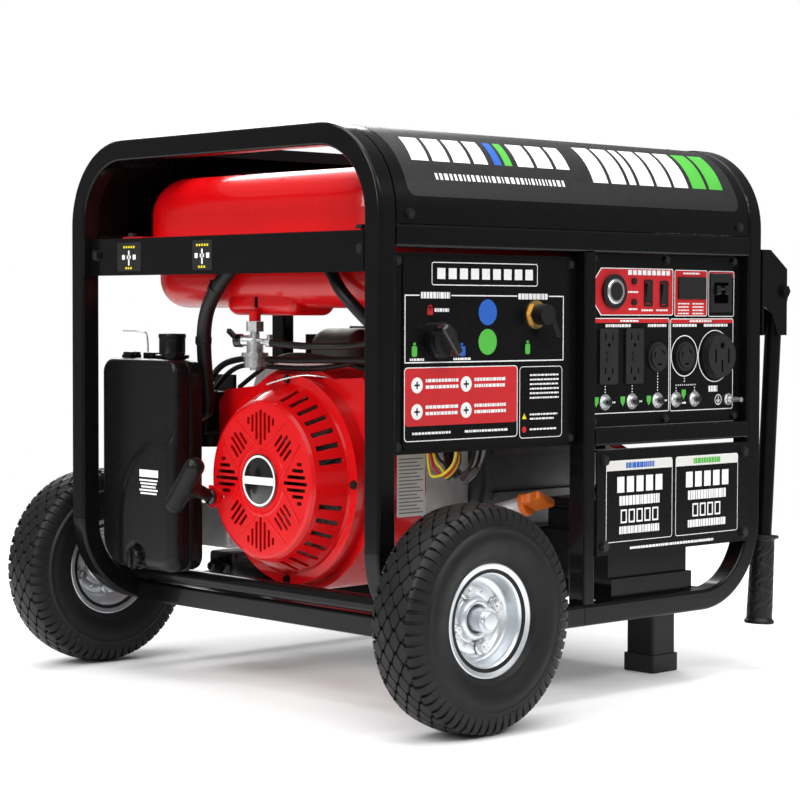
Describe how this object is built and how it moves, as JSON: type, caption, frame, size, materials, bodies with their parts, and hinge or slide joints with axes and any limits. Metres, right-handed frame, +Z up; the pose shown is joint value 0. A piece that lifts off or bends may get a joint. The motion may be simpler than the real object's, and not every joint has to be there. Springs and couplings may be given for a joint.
{
  "type": "portable generator",
  "caption": "Open-frame portable generator on two wheels, with an engine, fuel tank, outlet panel, battery, folding handles and rubber-shod legs.",
  "frame": {"origin": "centre of the whole generator's box, on the ground", "axes": "+X towards the handle end, +Y towards the rear side, away from the outlet panel, +Z up"},
  "size_m": [0.748, 0.765, 0.66],
  "materials": {
    "black_powder_coat": "gloss",
    "black_sheet": "gloss",
    "red_paint": "gloss",
    "zinc_plate": "satin",
    "bright_steel": "satin",
    "tyre_rubber": "matt",
    "black_rubber": "matt",
    "moulded_black": "matt",
    "gloss_black_plastic": "gloss",
    "socket_black": "matt",
    "orange_plastic": "gloss",
    "cast_aluminium": "cast",
    "generator_case": "painted",
    "rotating_steel": "machined",
    "silencer_steel": "heat darkened",
    "brass": "satin",
    "filter_foam": "matt"
  },
  "bodies": {
    "frame": {"end_frame_engine": "black_powder_coat", "end_frame_panel": "black_powder_coat", "top_rails": "black_powder_coat", "mid_tubes": "black_powder_coat", "cross_members": "black_powder_coat", "tank_beams": "black_sheet", "front_hood": "black_sheet", "rear_hood": "black_sheet", "legs": "black_powder_coat", "leg_feet": "black_rubber", "axle": "bright_steel", "handle_brackets": "black_powder_coat", "fuel_tank": "red_paint", "fuel_valve": "cast_aluminium", "fuel_panel": "black_sheet", "propane_inlet": "brass", "control_panel": "black_sheet", "meter_and_lamps": "bright_steel", "main_breaker": "gloss_black_plastic", "duplex_outlets": "socket_black", "round_outlets": "socket_black", "ground_terminal": "bright_steel", "battery_cover": "black_sheet", "battery": "moulded_black", "battery_tray": "black_powder_coat", "engine_block": "cast_aluminium", "blower_housing": "red_paint", "recoil_cover": "red_paint", "carburettor": "cast_aluminium", "air_cleaner_box": "moulded_black", "air_filter": "filter_foam", "muffler": "silencer_steel", "alternator": "generator_case", "vibration_mounts": "black_rubber", "hoses": "black_rubber", "frame_bolts": "bright_steel"},
    "wheel_front": {"tyre_front": "tyre_rubber", "rim_front": "zinc_plate"},
    "wheel_rear": {"tyre_rear": "tyre_rubber", "rim_rear": "zinc_plate"},
    "handle_front": {"handle_tube_front": "black_powder_coat", "handle_grip_front": "black_rubber"},
    "handle_rear": {"handle_tube_rear": "black_powder_coat", "handle_grip_rear": "black_rubber"},
    "tank_cap": {"fuel_cap": "moulded_black"},
    "valve_lever": {"fuel_valve_lever": "bright_steel"},
    "selector": {"fuel_selector_knob": "moulded_black"},
    "inlet_cap": {"propane_cap": "black_rubber"},
    "starter_button": {"start_button": "gloss_black_plastic"},
    "battery_switch": {"battery_rocker": "gloss_black_plastic"},
    "idle_switch": {"idle_rocker": "gloss_black_plastic"},
    "breaker_lever": {"main_breaker_toggle": "socket_black"},
    "oil_cap": {"dipstick": "orange_plastic"},
    "crankshaft": {"crank_rotor": "rotating_steel"},
    "pull_grip": {"pull_handle": "moulded_black"},
    "reset_1": {"reset_button_1": "socket_black"},
    "reset_2": {"reset_button_2": "socket_black"},
    "reset_3": {"reset_button_3": "socket_black"},
    "reset_4": {"reset_button_4": "socket_black"},
    "reset_5": {"reset_button_5": "socket_black"}
  },
  "joints": [
    {"name": "wheel_front_spin", "type": "hinge", "parent": "frame", "child": "wheel_front", "pos_m": [-0.24945, -0.3445, 0.1244], "axis": [0, 1, 0], "continuous": true},
    {"name": "wheel_rear_spin", "type": "hinge", "parent": "frame", "child": "wheel_rear", "pos_m": [-0.24945, 0.3445, 0.1244], "axis": [0, 1, 0], "continuous": true},
    {"name": "handle_front_fold", "type": "hinge", "parent": "frame", "child": "handle_front", "pos_m": [0.36285, -0.2728, 0.48], "axis": [0, -1, 0], "range_deg": [0, 93.6]},
    {"name": "handle_rear_fold", "type": "hinge", "parent": "frame", "child": "handle_rear", "pos_m": [0.36285, 0.2728, 0.48], "axis": [0, -1, 0], "range_deg": [0, 93.6]},
    {"name": "fuel_cap_turn", "type": "hinge", "parent": "frame", "child": "tank_cap", "pos_m": [-0.03215, -0.0005, 0.63], "axis": [0, 0, 1], "range_deg": [0, 90]},
    {"name": "fuel_valve_turn", "type": "hinge", "parent": "frame", "child": "valve_lever", "pos_m": [-0.25415, 0.0185, 0.418], "axis": [-0.3714, 0.9285, 0], "range_deg": [0, 90]},
    {"name": "fuel_selector_turn", "type": "hinge", "parent": "frame", "child": "selector", "pos_m": [-0.23415, -0.2715, 0.422], "axis": [0, -1, 0], "range_deg": [0, 220]},
    {"name": "propane_cap_pull", "type": "slide", "parent": "frame", "child": "inlet_cap", "axis": [0, -1, 0], "range_m": [0, 0.03]},
    {"name": "start_button_press", "type": "slide", "parent": "frame", "child": "starter_button", "axis": [0, 1, 0], "range_m": [0, 0.003], "stiffness_N_per_m": 600},
    {"name": "battery_switch_tip", "type": "hinge", "parent": "frame", "child": "battery_switch", "pos_m": [0.11785, -0.2695, 0.476], "axis": [-1, 0, 0], "range_deg": [0, 14]},
    {"name": "idle_switch_tip", "type": "hinge", "parent": "frame", "child": "idle_switch", "pos_m": [0.14685, -0.2695, 0.475], "axis": [-1, 0, 0], "range_deg": [0, 14]},
    {"name": "main_breaker_tip", "type": "hinge", "parent": "frame", "child": "breaker_lever", "pos_m": [0.25335, -0.2655, 0.477], "axis": [1, 0, 0], "range_deg": [0, 30]},
    {"name": "reset_1_trip", "type": "slide", "parent": "frame", "child": "reset_1", "axis": [0, -1, 0], "range_m": [0, 0.005]},
    {"name": "reset_2_trip", "type": "slide", "parent": "frame", "child": "reset_2", "axis": [0, -1, 0], "range_m": [0, 0.005]},
    {"name": "reset_3_trip", "type": "slide", "parent": "frame", "child": "reset_3", "axis": [0, -1, 0], "range_m": [0, 0.005]},
    {"name": "reset_4_trip", "type": "slide", "parent": "frame", "child": "reset_4", "axis": [0, -1, 0], "range_m": [0, 0.005]},
    {"name": "reset_5_trip", "type": "slide", "parent": "frame", "child": "reset_5", "axis": [0, -1, 0], "range_m": [0, 0.005]},
    {"name": "dipstick_turn", "type": "hinge", "parent": "frame", "child": "oil_cap", "pos_m": [-0.00415, -0.1815, 0.221], "axis": [0.3224, -0.898, 0.2993], "range_deg": [0, 360]},
    {"name": "crankshaft_spin", "type": "hinge", "parent": "frame", "child": "crankshaft", "pos_m": [-0.03215, -0.0005, 0.253], "axis": [1, 0, 0], "continuous": true},
    {"name": "starter_pull", "type": "slide", "parent": "frame", "child": "pull_grip", "axis": [-0.9317, -0.1503, 0.3306], "range_m": [0, 0.9], "stiffness_N_per_m": 25, "springref_m": -0.6}
  ]
}
